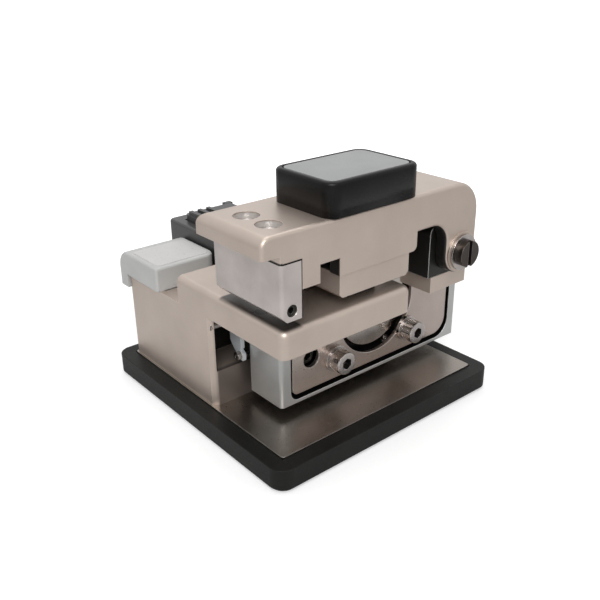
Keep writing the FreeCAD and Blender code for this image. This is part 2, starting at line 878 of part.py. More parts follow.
lid = new_body("collector_lid")
lid_bottom = lid_seat + 0.1
lid_top = lid_bottom + s.lid_thickness
pad_box(lid, (lid_left, lid_front, lid_bottom), (lid_right, lid_back, lid_top))
round_edges(lid, edges(lid, "x", y=lid_back), s.lid_knuckle * 0.98)
round_edges(lid, edges(lid, "z", y=lid_front), 1.2)
for i in range(3):
    rib = lid_front + 0.4 + 2.7 * i
    pad_box(
        lid,
        (lid_left + 1.4, rib, lid_top - 0.2),
        (lid_right - 1.4, rib + s.rib_width, lid_top + s.rib_height),
    )
pocket_bore(lid, "YZ_Plane", lid_right + 1, pivot_y, pivot_z, 0.5 + s.running_gap, lid_width + 2)
pinch_length = 7.0
pinch_front = fibre_line - pinch_length / 2
pocket_box(
    lid,
    (roller_x - s.pinch_roller_radius - 0.3, pinch_front - 0.3, lid_bottom - 1),
    (roller_x + s.pinch_roller_radius + 0.3, pinch_front + pinch_length + 0.3, pinch_axis_z + 1.2),
)
pocket_bore(
    lid, "XZ_Plane", -(pinch_front - 1.1), roller_x, pinch_axis_z, 0.45 + s.running_gap, pinch_length + 2.2,
)

lid_pin = rod((lid_left - 1.2, pivot_y, pivot_z), "+X", 0.5, lid_width + 2.4)
keep(lid_pin, "lid_pin")

feed_roller = fuse([
    rod((roller_x, roller_front, feed_axis_z), "+Y", s.feed_roller_radius, roller_length),
    rod((roller_x, chamber_front - 1.4, feed_axis_z), "+Y", 0.8, chamber_back - chamber_front + 2.8),
])
keep(feed_roller, "feed_roller")
pinch_roller = fuse([
    rod((roller_x, pinch_front, pinch_axis_z), "+Y", s.pinch_roller_radius, pinch_length),
    rod((roller_x, pinch_front - 0.9, pinch_axis_z), "+Y", 0.45, pinch_length + 1.8),
])
keep(pinch_roller, "pinch_roller")

# ---------------------------------------------------------------- trip lever in the window
lever_left = wall - 2.5
lever_right = slider_left - s.lever_slider_gap
lever_front = body_front + s.lever_setback - 1.0
lever_top = deck_under - 0.4
lever_foot = lever_top - s.lever_foot_height - 1.6
pivot_x = wall - 1.3
lever_pivot = deck_under - s.lever_pivot_drop
trip_lever = new_body("trip_lever")
profile = sketch_on(trip_lever, "XZ_Plane", -lever_front)
outline(profile, [
    (lever_left, lever_top),
    (lever_right - 0.5, lever_top),
    (lever_right - 0.5, lever_foot + 3.0),
    (lever_right - 1.0, lever_foot + 2.4),
    (lever_right, lever_foot + 1.7),
    (lever_right, lever_foot),
    (lever_right - 1.2, lever_foot),
    (lever_left + 0.6, lever_foot + 3.0),
    (lever_left, lever_foot + 4.0),
])
pad(trip_lever, profile, s.lever_thickness, backwards=True)
pocket_bore(
    trip_lever, "XZ_Plane", -(lever_front - 1), pivot_x, lever_pivot, s.lever_pivot_radius + s.running_gap,
    s.lever_thickness + 2,
)
pocket_bore(trip_lever, "XZ_Plane", -(lever_front - 1), lever_right - 1.1, lever_foot + 1.1, 0.55, 3.0)

lever_pin = rod((pivot_x, window_front - 0.5, lever_pivot), "+Y", s.lever_pivot_radius, s.window_length + 1.0)
keep(lever_pin, "lever_pin")
lever_screw_head = (lever_right - 1.1, lever_front - 1.0, lever_foot + 1.1)
lever_screw = socket_screw(lever_screw_head, "+Y", Size.of(1.05), Size.of(1.0), Size.of(0.5), Size.of(2.2))
keep(lever_screw, "lever_screw")

# ---------------------------------------------------------------- arm
arch_top = hinge_level + s.arch_height
cheek_front = hinge_line - s.boss_radius
arch_front = cheek_front - s.arch_width
cheek_bottom = hinge_level - s.boss_radius
arm_body = new_body("arm_body")
profile = sketch_on(arm_body, "YZ_Plane", arm_left)
outline(profile, [
    (arm_front, arm_ceiling),
    (jaw_front, arm_ceiling),
    (jaw_front, jaw_top),
    (jaw_back, jaw_top),
    (jaw_back, skirt_bottom),
    (arch_front, skirt_bottom),
    (arch_front, arch_top),
    (cheek_front, arch_top),
    (cheek_front, cheek_bottom),
    (arm_back, cheek_bottom),
    (arm_back, arm_top),
    (arm_front, arm_top),
])
pad(arm_body, profile, s.arm_width)
round_edges(arm_body, edges(arm_body, "x", z=cheek_bottom), s.boss_radius * 0.97)
round_edges(arm_body, edges(arm_body, "x", y=cheek_front, z=arch_top), s.arch_round)
round_edges(arm_body, edges(arm_body, "x", y=arch_front, z=skirt_bottom), 1.2)
round_edges(arm_body, edges(arm_body, "x", y=arm_back, z=arm_top), s.arm_back_round)
round_edges(
    arm_body,
    edges(arm_body, "x", y=arm_front, z=arm_top) + edges(arm_body, "y", x=arm_left, z=arm_top),
    s.arm_front_round,
)
round_edges(arm_body, edges(arm_body, "z", x=arm_right, y=arm_front), 0.9)
inner_left = arm_left + s.cheek
inner_right = arm_right - s.cheek
hollow_front = jaw_back + 2.0
hollow_back = arm_back - s.cheek
pocket_box(arm_body, (inner_left, hollow_front, cheek_bottom - 1), (inner_right, hollow_back, arm_ceiling))
pocket_box(
    arm_body,
    (inner_left, hollow_back - 1, cheek_bottom - 1),
    (inner_right, arm_back + 1, hinge_level + 8.9),
)
side_slot = jaw_front + s.side_slot_front
pocket_box(
    arm_body,
    (arm_left - 1, side_slot, skirt_bottom - 1),
    (arm_right + 1, side_slot + s.side_slot_width, skirt_bottom + s.side_slot_height),
)
boss_sketch = sketch_on(arm_body, "YZ_Plane", arm_right)
circle(boss_sketch, hinge_line, hinge_level, s.boss_radius - 0.4)
pad(arm_body, boss_sketch, 0.4)
pocket_bore(
    arm_body, "YZ_Plane", arm_right + 1, hinge_line, hinge_level,
    s.pin_radius + s.running_gap, s.arm_width + 2,
)
jaw_screw_y = (jaw_front + jaw_back) / 2 - 0.5
jaw_screw_x = [arm_middle + 1.2 + s.jaw_screw_spacing * f for f in (-0.5, 0.5)]
for x in jaw_screw_x:
    pocket_bore(arm_body, "XY_Plane", arm_top, x, jaw_screw_y, s.counterbore_radius, s.counterbore_depth)
    pocket_bore(arm_body, "XY_Plane", arm_top, x, jaw_screw_y, 1.3, arm_top - jaw_top + 1)

jaw_right = deck_right
jaw_left = jaw_right - s.jaw_width
jaw_block = new_body("jaw_block")
pad_box(jaw_block, (jaw_left, jaw_front, jaw_bottom), (jaw_right, jaw_back, jaw_top))
bevel_edges(jaw_block, edges(jaw_block, "x", y=jaw_front, z=jaw_bottom), s.jaw_bevel)
round_edges(jaw_block, edges(jaw_block, "z", x=jaw_right, y=jaw_front), s.jaw_round)
jaw_middle_y = (jaw_front + jaw_back) / 2
for x in jaw_screw_x:
    pocket_bore(
        jaw_block, "XY_Plane", jaw_top, x, jaw_screw_y, s.m25_shank + s.thread_gap, s.jaw_screw_length - 2
    )
pocket_bore(
    jaw_block, "XY_Plane", jaw_bottom, arm_middle, magnet_y, s.magnet_radius + s.thread_gap,
    s.magnet_height + s.magnet_gap, backwards=True,
)
set_screw_z = jaw_bottom + 2.2
set_screw_thread = s.set_screw_radius + s.thread_gap
pocket_bore(jaw_block, "YZ_Plane", jaw_right, jaw_middle_y, set_screw_z, set_screw_thread, 5.0)

jaw_screws = []
for x in jaw_screw_x:
    head = (x, jaw_screw_y, arm_top - s.counterbore_depth + s.jaw_screw_head)
    jaw_screws.append(
        socket_screw(head, "-Z", s.jaw_screw_head, s.jaw_screw_head, s.m25_shank, s.jaw_screw_length)
    )
keep(group(jaw_screws), "jaw_screws")
set_screw = cut(
    rod((jaw_right - 0.4, jaw_middle_y, set_screw_z), "-X", s.set_screw_radius, 4.4),
    [hexagon((jaw_right - 0.3, jaw_middle_y, set_screw_z), "-X", 0.75, 1.6)],
)
keep(set_screw, "jaw_set_screw")
arm_magnet = rod(
    (arm_middle, magnet_y, jaw_bottom + s.magnet_gap), "+Z", s.magnet_radius, s.magnet_height - s.magnet_gap
)
keep(arm_magnet, "arm_magnet")

# ---------------------------------------------------------------- push pad
top_right = arm_right + s.push_pad_overhang
top_left = top_right - s.push_pad_width
top_front = body_front + s.push_pad_setback
top_back = top_front + s.push_pad_depth
top_level = arm_top + s.push_pad_height
push_pad = new_body("push_pad")
pad_box(push_pad, (top_left, top_front, arm_top), (top_right, top_back, top_level))
round_edges(push_pad, edges(push_pad, "z"), s.push_pad_corner)
pad_rim = ["Edge%d" % n for n, e in enumerate(push_pad.Shape.Edges, start=1)
           if e.BoundBox.ZMin > top_level.number - 1e-4]
round_edges(push_pad, pad_rim, s.push_pad_edge)
pocket_box(
    push_pad,
    (top_left + s.inlay_margin, top_front + s.inlay_margin, top_level - s.inlay_depth),
    (top_right - s.inlay_margin, top_back - s.inlay_margin, top_level + 1),
)
round_edges(
    push_pad,
    edges(push_pad, "z", x=top_left + s.inlay_margin) + edges(push_pad, "z", x=top_right - s.inlay_margin),
    s.push_pad_corner - s.inlay_margin,
)
pad_inlay = new_body("pad_inlay")
inlay_edge = s.inlay_margin + s.inlay_gap
pad_box(
    pad_inlay,
    (top_left + inlay_edge, top_front + inlay_edge, top_level - s.inlay_depth),
    (top_right - inlay_edge, top_back - inlay_edge, top_level - 0.05),
)
round_edges(pad_inlay, edges(pad_inlay, "z"), s.push_pad_corner - inlay_edge)

# ---------------------------------------------------------------- clamp carrier
carrier_left = arm_left + 0.5
carrier_right = arm_right - 0.5
carrier_front = body_front + s.carrier_setback
carrier_back = carrier_front + s.carrier_depth
carrier_bottom = fibre_level + s.fibre_gap + s.upper_pad_height
carrier_screw_sides = (arm_left + s.carrier_screw_inset, arm_right - s.carrier_screw_inset)
carrier_screw_spots = [
    (x, y) for x in carrier_screw_sides for y in (carrier_front + 3.5, carrier_back - 3)
]
clamp_carrier = new_body("clamp_carrier")
pad_box(
    clamp_carrier,
    (carrier_left, carrier_front, carrier_bottom),
    (carrier_right, carrier_back, skirt_bottom),
)
bevel_edges(
    clamp_carrier,
    edges(clamp_carrier, "x", y=carrier_front, z=carrier_bottom)
    + edges(clamp_carrier, "x", y=carrier_back, z=carrier_bottom),
    0.8,
)
pocket_bore(
    clamp_carrier, "XY_Plane", skirt_bottom, blade_middle, fibre_line, s.anvil_radius + s.running_gap,
    skirt_bottom - carrier_bottom + 1,
)
pocket_bore(clamp_carrier, "XY_Plane", skirt_bottom, blade_middle, fibre_line, 2.2, 3.0)
carrier_seat = (s.carrier_screw_head + s.flush, s.m16_head_length + s.flush)
for x, y in carrier_screw_spots:
    pocket_bore(clamp_carrier, "XY_Plane", skirt_bottom, x, y, small_thread, skirt_bottom - carrier_bottom)
    pocket_bore(clamp_carrier, "XY_Plane", carrier_bottom, x, y, *carrier_seat, backwards=True)
    pocket_bore(arm_body, "XY_Plane", skirt_bottom, x, y, small_thread, s.m16_length * 0.5, backwards=True)

carrier_screws = []
for x, y in carrier_screw_spots:
    head = (x, y, carrier_bottom + s.flush)
    carrier_screws.append(
        socket_screw(head, "+Z", s.carrier_screw_head, s.m16_head_length, s.m16_shank, s.m16_length)
    )
keep(group(carrier_screws), "carrier_screws")

upper_low = fibre_level + s.fibre_gap
upper = [clamp_pad(span, upper_low, carrier_bottom, upper_low) for span in (left_pad_span, right_pad_span)]
keep(group(upper), "upper_pads")
anvil_bottom = fibre_level + s.anvil_lift
anvil = fuse([
    rod((blade_middle, fibre_line, anvil_bottom), "+Z", s.anvil_radius, s.anvil_length),
    rod((blade_middle, fibre_line, skirt_bottom - 2.9), "+Z", 2.0, 0.8),
])
keep(anvil, "anvil")

# ---------------------------------------------------------------- hinge
post_top = hinge_level + s.post_head
hinge_post = new_body("hinge_post")
pad_box(hinge_post, (post_left, post_front, bridge_top), (post_right, post_back, post_top))
round_edges(hinge_post, edges(hinge_post, "x", y=post_back, z=post_top), s.post_round)
round_edges(hinge_post, edges(hinge_post, "x", y=post_front, z=post_top), s.post_front_round)
pocket_box(
    hinge_post,
    (slot_left, post_front - 1, bridge_top - 1),
    (slot_right, post_front + 1.9, bridge_top + 2.2),
)
pocket_bore(hinge_post, "YZ_Plane", post_right + 1, hinge_line, hinge_level, s.pin_radius + 0.02, s.arm_width)
for x, y in post_screw_spots:
    post_thread = s.m25_shank + s.thread_gap
    pocket_bore(hinge_post, "XY_Plane", bridge_top, x, y, post_thread, s.post_screw_grip, backwards=True)

post_screws = []
for x, y in post_screw_spots:
    head = (x, y, deck_under + 0.2)
    post_screws.append(socket_screw(head, "+Z", s.m25_head, s.m25_head_length, s.m25_shank, s.m25_length))
keep(group(post_screws), "post_screws")

washer_x = arm_right + 0.45
head_x = washer_x + s.washer_ring_thickness
pin_start = arm_left - 1.4
hinge_pin = cut(
    fuse([
        rod((pin_start, hinge_line, hinge_level), "+X", s.pin_radius, head_x - pin_start + 0.5),
        rod((head_x, hinge_line, hinge_level), "+X", s.pin_head_radius, s.pin_head_length),
    ]),
    [block(
        (head_x + s.pin_head_length * 0.5, hinge_line - s.pin_slot / 2, hinge_level - 4),
        (head_x + s.pin_head_length + 1, hinge_line + s.pin_slot / 2, hinge_level + 4),
    )],
)
keep(hinge_pin, "hinge_pin")


def ring(start, axis, outer, inner, length):
    """A plain washer or bush."""
    body = rod(start, axis, outer, length)
    bore = rod(step(start, axis, -0.5), axis, inner, length + 1)
    return cut(body, [bore])


pin_bore = s.pin_radius + s.running_gap
bush_width = s.bush_thickness - 0.08
bushes = [
    ring((post_left - bush_width, hinge_line, hinge_level), "+X", s.bush_radius, pin_bore, bush_width),
    ring((post_right, hinge_line, hinge_level), "+X", s.bush_radius, pin_bore, bush_width),
]
keep(group(bushes), "hinge_bushes")
keep(
    ring((washer_x, hinge_line, hinge_level), "+X", s.washer_ring_radius, pin_bore, s.washer_ring_thickness),
    "pin_washer",
)
retainer_face = (arm_left - 1.1, hinge_line, hinge_level)
keep(ring(retainer_face, "+X", Size.of(2.9), pin_bore, Size.of(1.0)), "pin_retainer")

# ---------------------------------------------------------------- slider
pocket_front = slider_front + s.frame_rim
pocket_back = slider_back - s.frame_rim
pocket_bottom = slider_bottom + s.frame_bottom_rim
pocket_top = slider_top - s.frame_top_rim
carriage_left = wall + 0.7
carriage_right = carriage_left + s.carriage_depth
carriage_front = slider_front + s.carriage_setback
carriage_back = carriage_front + s.carriage_length
carriage_bottom = rail_middle - s.carriage_height / 2
carriage_top = rail_middle + s.carriage_height / 2
rail_right = wall + s.rail_thickness
screw_z = blade_level - s.screw_drop
screw_spots = [(blade_line - s.front_screw_offset, screw_z), (blade_line + s.rear_screw_offset, screw_z)]
adjuster_spot = (blade_line - s.adjuster_offset, blade_level - s.adjuster_drop)
carriage_screw_rows = (carriage_bottom + 1.8, carriage_top - 1.8)
carriage_screw_spots = [
    (y, z) for y in (carriage_front + 12.5, carriage_back - 4) for z in carriage_screw_rows
]

slider_frame = new_body("slider_frame")
pad_box(slider_frame, (slider_left, slider_front, slider_bottom), (slider_right, slider_back, slider_top))
round_edges(
    slider_frame,
    edges(slider_frame, "z", x=slider_right, y=slider_front)
    + edges(slider_frame, "z", x=slider_right, y=slider_back),
    s.slider_corner,
)
pocket_box(
    slider_frame,
    (pocket_floor, pocket_front, pocket_bottom),
    (slider_right + 1, pocket_back, pocket_top),
)
round_edges(slider_frame, edges(slider_frame, "x", y=pocket_front), s.frame_left_radius)
round_edges(slider_frame, edges(slider_frame, "x", y=pocket_back), s.frame_right_radius)
pocket_box(
    slider_frame,
    (pocket_floor, blade_line - s.blade_radius - s.blade_top_gap, pocket_top - 1),
    (slider_right + 1, blade_line + s.blade_radius + s.blade_top_gap, slider_top + 1),
)
pocket_box(
    slider_frame,
    (slider_left - 1, carriage_front - 0.2, carriage_bottom - 0.2),
    (carriage_right, carriage_back + 0.2, carriage_top + 0.2),
)
pocket_box(
    slider_frame,
    (slider_left - 1, rail_front - 0.3, rail_bottom - 0.3),
    (rail_right + 0.3, slider_back + 1, rail_top + 0.3),
)
bosses = sketch_on(slider_frame, "YZ_Plane", pocket_floor)
for y, z in screw_spots:
    circle(bosses, y, z, 2.6)
pad(slider_frame, bosses, plate_back_face - pocket_floor)
for y, z in screw_spots:
    pocket_bore(slider_frame, "YZ_Plane", plate_back_face, y, z, 1.2 + s.thread_gap, 5.5)
adjuster_y, adjuster_z = adjuster_spot
pocket_bore(slider_frame, "YZ_Plane", pocket_floor, adjuster_y, adjuster_z, s.m25_shank + s.thread_gap, 3.2)
pocket_bore(slider_frame, "YZ_Plane", pocket_floor, blade_line, blade_level, 1.2 + s.thread_gap, 3.2)
for y, z in carriage_screw_spots:
    pocket_bore(slider_frame, "YZ_Plane", pocket_floor, y, z, *head_seat)
    pocket_bore(slider_frame, "YZ_Plane", pocket_floor, y, z, small_thread, 5.0)

rail_carriage = new_body("rail_carriage")
pad_box(
    rail_carriage,
    (carriage_left, carriage_front, carriage_bottom),
    (carriage_right, carriage_back, carriage_top),
)
pocket_box(
    rail_carriage,
    (carriage_left - 1, carriage_front - 1, rail_bottom - s.guide_gap),
    (rail_right + s.guide_gap, carriage_back + 1, rail_top + s.guide_gap),
)
lips = (
    (rail_bottom - s.guide_gap - 0.4, rail_bottom + 0.8 - s.guide_gap),
    (rail_top - 0.8 + s.guide_gap, rail_top + s.guide_gap + 0.4),
)
for low, high in lips:
    pad_box(
        rail_carriage,
        (wall + 1.1 + s.guide_gap, carriage_front, low),
        (wall + 2.1 - s.guide_gap, carriage_back, high),
    )
for y, z in carriage_screw_spots:
    pocket_bore(rail_carriage, "YZ_Plane", carriage_right, y, z, small_thread, s.carriage_screw_grip)

carriage_screws = []
for y, z in carriage_screw_spots:
    head = (pocket_floor - s.flush, y, z)
    carriage_screws.append(socket_screw(head, "-X", *small_screw, s.m16_length * 0.7))
keep(group(carriage_screws), "carriage_screws")

plate_front_y = pocket_front + s.blade_plate_gap
plate_back_y = pocket_back - s.blade_plate_gap
plate_low = pocket_bottom + s.blade_plate_low_gap
plate_high = pocket_top - 0.3
blade_plate = new_body("blade_plate")
profile = sketch_on(blade_plate, "YZ_Plane", plate_back_face)
rectangle(profile, plate_front_y, plate_low, plate_back_y, plate_high)
pad(blade_plate, profile, s.blade_plate_thickness)
round_edges(blade_plate, edges(blade_plate, "x", y=plate_front_y), s.blade_plate_left_radius)
round_edges(blade_plate, edges(blade_plate, "x", y=plate_back_y), s.blade_plate_right_radius)
pocket_bore(
    blade_plate, "YZ_Plane", plate_face, blade_line, blade_level, s.blade_radius + s.blade_window_gap,
    s.blade_plate_thickness,
)
for y, z in screw_spots:
    pocket_bore(blade_plate, "YZ_Plane", plate_face, y, z, 1.5, s.blade_plate_thickness)
pocket_bore(
    blade_plate, "YZ_Plane", plate_face, adjuster_spot[0], adjuster_spot[1], s.adjuster_radius + 0.1,
    s.blade_plate_thickness,
)

washers = [
    ring((plate_face, y, z), "+X", s.washer_radius, 1.5, s.washer_thickness) for y, z in screw_spots
]
keep(group(washers), "blade_washers")
head_face = plate_face + s.washer_thickness + s.head_length
blade_screws = [
    socket_screw((head_face, y, z), "-X", s.head_radius, s.head_length, s.m25_shank, s.blade_screw_length)
    for y, z in screw_spots
]
keep(group(blade_screws), "blade_screws")
adjuster = cut(
    fuse([
        rod((plate_face - 0.2, adjuster_spot[0], adjuster_spot[1]), "-X", s.adjuster_radius - 0.2, 2.0),
        rod((plate_face - 2.0, adjuster_spot[0], adjuster_spot[1]), "-X", 1.2, 4.4),
    ]),
    [block(
        (plate_face - 0.9, adjuster_spot[0] - 3, adjuster_spot[1] - 0.3),
        (plate_face + 1, adjuster_spot[0] + 3, adjuster_spot[1] + 0.3),
    )],
)
keep(adjuster, "height_adjuster")

hub = fuse([
    rod((pocket_floor, blade_line, blade_level), "+X", s.hub_flange, blade_left - pocket_floor - 0.1),
    rod((pocket_floor, blade_line, blade_level), "+X", s.hub_radius, blade_right - pocket_floor + 0.1),
])
hub_bore = rod(
    (pocket_floor - 1, blade_line, blade_level), "+X", s.m25_shank + s.thread_gap, s.hub_screw_length + 1
)
keep(cut(hub, [hub_bore]), "blade_hub")
hub_face = (blade_right + 1.1, blade_line, blade_level)
hub_screw = socket_screw(
    hub_face, "-X", s.hub_head_radius, Size.of(1.0), s.m25_shank, s.hub_screw_length
)
keep(hub_screw, "hub_screw")

blade_wheel = new_body("blade_wheel")
disc = sketch_on(blade_wheel, "YZ_Plane", blade_left)
circle(disc, blade_line, blade_level, s.blade_radius)
circle(disc, blade_line, blade_level, s.hub_radius + s.running_gap)
pad(blade_wheel, disc, s.blade_thickness)
rim_edges = ["Edge%d" % n for n, e in enumerate(blade_wheel.Shape.Edges, start=1)
             if e.BoundBox.YLength > 2 * s.blade_radius.number - 0.1 and e.BoundBox.XLength < 1e-3]
bevel_edges(blade_wheel, rim_edges, 0.35)

# ---------------------------------------------------------------- check and export
doc.recompute()
for obj in doc.Objects:
    if "Invalid" in obj.State or "Error" in obj.State:
        raise RuntimeError("%s is not valid: %s" % (obj.Label, obj.State))
for obj in NODES:
    if obj.Shape.isNull() or not obj.Shape.isValid():
        raise RuntimeError("the shape of %s is not valid" % obj.Label)
    obj.Shape.exportStep("parts/" + obj.Label + ".step")
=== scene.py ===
"""Looks of the bench fibre cleaver: finishes for the machined pieces, and the screws, grips and small trim."""
import bmesh
import bpy
import math
from mathutils import Matrix, Vector


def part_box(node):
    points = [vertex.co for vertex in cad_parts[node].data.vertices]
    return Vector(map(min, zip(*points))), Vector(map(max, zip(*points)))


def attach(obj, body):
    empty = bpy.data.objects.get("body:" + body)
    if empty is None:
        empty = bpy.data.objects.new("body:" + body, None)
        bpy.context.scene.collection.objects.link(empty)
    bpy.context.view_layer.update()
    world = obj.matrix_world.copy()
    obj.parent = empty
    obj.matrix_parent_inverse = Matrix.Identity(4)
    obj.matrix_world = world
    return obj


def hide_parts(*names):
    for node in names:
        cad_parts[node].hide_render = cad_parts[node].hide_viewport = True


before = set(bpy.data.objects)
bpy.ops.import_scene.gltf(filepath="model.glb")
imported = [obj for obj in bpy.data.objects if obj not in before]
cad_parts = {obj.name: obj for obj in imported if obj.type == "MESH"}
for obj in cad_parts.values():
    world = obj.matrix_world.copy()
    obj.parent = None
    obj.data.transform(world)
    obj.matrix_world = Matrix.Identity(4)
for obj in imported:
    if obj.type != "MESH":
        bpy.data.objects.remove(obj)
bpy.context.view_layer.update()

MM = 0.001


# ---------------------------------------------------------------- finishes
def node_graph(name):
    """A new finish with its shader, and the object-space position for its patterns."""
    finish = bpy.data.materials.new(name)
    finish.use_nodes = True
    nodes = finish.node_tree.nodes
    links = finish.node_tree.links
    shader = nodes["Principled BSDF"]
    place = nodes.new("ShaderNodeTexCoord")
    return finish, nodes, links, shader, place.outputs["Object"]


def noise(nodes, links, place, size_mm, detail):
    """Noise whose features are about size_mm across."""
    texture = nodes.new("ShaderNodeTexNoise")
    texture.inputs["Scale"].default_value = 1.0 / (size_mm * MM)
    texture.inputs["Detail"].default_value = detail
    links.new(place, texture.inputs["Vector"])
    return texture


def ramp(nodes, links, value, low, high):
    """Maps the middle of a noise to the range from low to high."""
    remap = nodes.new("ShaderNodeMapRange")
    remap.inputs["From Min"].default_value = 0.3
    remap.inputs["From Max"].default_value = 0.7
    remap.inputs["To Min"].default_value = low
    remap.inputs["To Max"].default_value = high
    links.new(value, remap.inputs["Value"])
    return remap.outputs["Result"]


def tint(nodes, links, value, first, second):
    """Two colours mixed by a value."""
    mix = nodes.new("ShaderNodeMix")
    mix.data_type = "RGBA"
    mix.inputs["A"].default_value = (*first, 1)
    mix.inputs["B"].default_value = (*second, 1)
    links.new(value, mix.inputs["Factor"])
    return mix.outputs["Result"]


def cover(nodes, links, under, colour, mask):
    """A colour laid over another where a mask is 1."""
    mix = nodes.new("ShaderNodeMix")
    mix.data_type = "RGBA"
    mix.inputs["B"].default_value = (*colour, 1)
    links.new(under, mix.inputs["A"])
    links.new(mask, mix.inputs["Factor"])
    return mix.outputs["Result"]


def soft_edges(nodes, links, radius_mm):
    """A normal that rounds sharp edges a little, and a mask of where they are."""
    bevel = nodes.new("ShaderNodeBevel")
    bevel.samples = 4
    bevel.inputs["Radius"].default_value = radius_mm * MM
    geometry = nodes.new("ShaderNodeNewGeometry")
    dot = nodes.new("ShaderNodeVectorMath")
    dot.operation = "DOT_PRODUCT"
    links.new(bevel.outputs["Normal"], dot.inputs[0])
    links.new(geometry.outputs["Normal"], dot.inputs[1])
    mask = nodes.new("ShaderNodeMapRange")
    mask.inputs["From Min"].default_value = 0.99
    mask.inputs["From Max"].default_value = 0.90
    links.new(dot.outputs["Value"], mask.inputs["Value"])
    return bevel.outputs["Normal"], mask.outputs["Result"]


def grain_normal(nodes, links, texture, normal, tilt):
    """The normal leaned at random by up to about half of tilt, for a fine blasted or ground surface."""
    centred = nodes.new("ShaderNodeVectorMath")
    centred.operation = "SUBTRACT"
    centred.inputs[1].default_value = (0.5, 0.5, 0.5)
    links.new(texture.outputs["Color"], centred.inputs[0])
    leaned = nodes.new("ShaderNodeVectorMath")
    leaned.operation = "MULTIPLY_ADD"
    leaned.inputs[1].default_value = (tilt, tilt, tilt)
    links.new(centred.outputs["Vector"], leaned.inputs[0])
    links.new(normal, leaned.inputs[2])
    unit = nodes.new("ShaderNodeVectorMath")
    unit.operation = "NORMALIZE"
    links.new(leaned.outputs["Vector"], unit.inputs[0])
    return unit.outputs["Vector"]


def bump(nodes, links, height, normal, depth_mm):
    """The normal with a relief of a depth added to it."""
    relief = nodes.new("ShaderNodeBump")
    relief.inputs["Distance"].default_value = depth_mm * MM
    relief.inputs["Strength"].default_value = 1.0
    links.new(height, relief.inputs["Height"])
    links.new(normal, relief.inputs["Normal"])
    return relief.outputs["Normal"]


def zone(nodes, links, place, low, high, feather_mm):
    """A mask that is 1 between two corners and fades out just outside them."""
    split = nodes.new("ShaderNodeSeparateXYZ")
    links.new(place, split.inputs["Vector"])
    mask = None
    for axis, start, end in zip("XYZ", low, high):
        for edge, sign in ((start, 1.0), (end, -1.0)):
            side = nodes.new("ShaderNodeMapRange")
            side.inputs["From Min"].default_value = edge - sign * feather_mm * MM
            side.inputs["From Max"].default_value = edge
            links.new(split.outputs[axis], side.inputs["Value"])
            if mask is None:
                mask = side.outputs["Result"]
                continue
            both = nodes.new("ShaderNodeMath")
            both.operation = "MULTIPLY"
            links.new(mask, both.inputs[0])
            links.new(side.outputs["Result"], both.inputs[1])
            mask = both.outputs["Value"]
    return mask


def machined(
    name, dark, light, edge, metallic, rough, grain_mm, tilt, edge_mm=0.12, gloss=0.5,
    shaded=(), drift_mm=9.0, clear_coat=0.0, coat_rough=0.3, depth_mm=0.0,
):
    """A finish with a fine grain, slow colour variation and brighter edges, which stand for wear with a
    painted highlight.

    dark and light are the ends of the variation and edge the colour of the brighter edges, wear with a painted
    highlight. tilt is how far the grain leans the normal, gloss the shader's specular level, clear_coat the
    weight of a clear layer over it and depth_mm the relief of a coarse grain. Each entry of shaded has two
    corners, the feather round them, and the colour that lies between them, most often a painted shade.
    """
    finish, nodes, links, shader, place = node_graph(name)
    grain = noise(nodes, links, place, grain_mm, 2.0)
    drift = noise(nodes, links, place, drift_mm, 3.0)
    body = tint(nodes, links, ramp(nodes, links, drift.outputs["Fac"], 0.0, 1.0), dark, light)
    # the brighter edges are partly wear and partly a painted highlight
    normal, edge_wear_and_highlight = soft_edges(nodes, links, edge_mm)
    colour = cover(nodes, links, body, edge, edge_wear_and_highlight)
    for low, high, feather_mm, shade in shaded:
        colour = cover(nodes, links, colour, shade, zone(nodes, links, place, low, high, feather_mm))
    links.new(colour, shader.inputs["Base Color"])
    fine = grain.outputs["Fac"]
    links.new(ramp(nodes, links, fine, rough - 0.03, rough + 0.04), shader.inputs["Roughness"])
    normal = grain_normal(nodes, links, grain, normal, tilt)
    if depth_mm:
        normal = bump(nodes, links, fine, normal, depth_mm)
    links.new(normal, shader.inputs["Normal"])
    shader.inputs["Metallic"].default_value = metallic
    shader.inputs["Specular IOR Level"].default_value = gloss
    shader.inputs["Coat Weight"].default_value = clear_coat
    shader.inputs["Coat Roughness"].default_value = coat_rough
    return finish


def champagne(name, shaded=()):
    """Bead-blasted, champagne-anodised aluminium, with painted shade and highlights in the zones of shaded."""
    return machined(
        name, (0.475, 0.395, 0.340), (0.525, 0.440, 0.380), (0.70, 0.61, 0.55), 0.70, 0.40, 0.25, 0.05,
        shaded=shaded, clear_coat=0.6, coat_rough=0.48,
    )


arm_low, arm_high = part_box("arm_body")
jaw_low, jaw_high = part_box("jaw_block")
post_low, post_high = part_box("hinge_post")
jaw_screw_low, jaw_screw_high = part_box("jaw_screws")
slider_low, slider_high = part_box("slider_frame")
plate_low, plate_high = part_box("blade_plate")
body_low, body_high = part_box("main_body")
rail_low, rail_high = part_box("slide_rail")

# zones of colour on a piece, placed by position: painted shade in hollows, gaps and under parts, and a painted
# highlight in the counterbores
PAST = 1 * MM
SHADE = (0.012, 0.011, 0.010)
BROWN_SHADE = (0.040, 0.032, 0.027)
COUNTERBORE_HIGHLIGHT = (0.66, 0.625, 0.60)
DECK_SHADE = (0.20, 0.165, 0.145)

# painted shade on the inside of the arm casting
arm_hollow_shade = (
    (arm_low.x + 0.35 * MM, jaw_high.y + 1.0 * MM, arm_low.z - PAST),
    (arm_high.x - 0.75 * MM, arm_high.y - 1.7 * MM, arm_high.z - 3 * MM),
    0.1, SHADE,
)
# painted shade in the slider frame's pocket round the blade plate
slider_pocket_shade = (
    (slider_high.x - 4.2 * MM, slider_low.y + 1.0 * MM, slider_low.z + 0.8 * MM),
    (slider_high.x - 0.14 * MM, slider_high.y - 1.0 * MM, slider_high.z + PAST),
    0.1, SHADE,
)
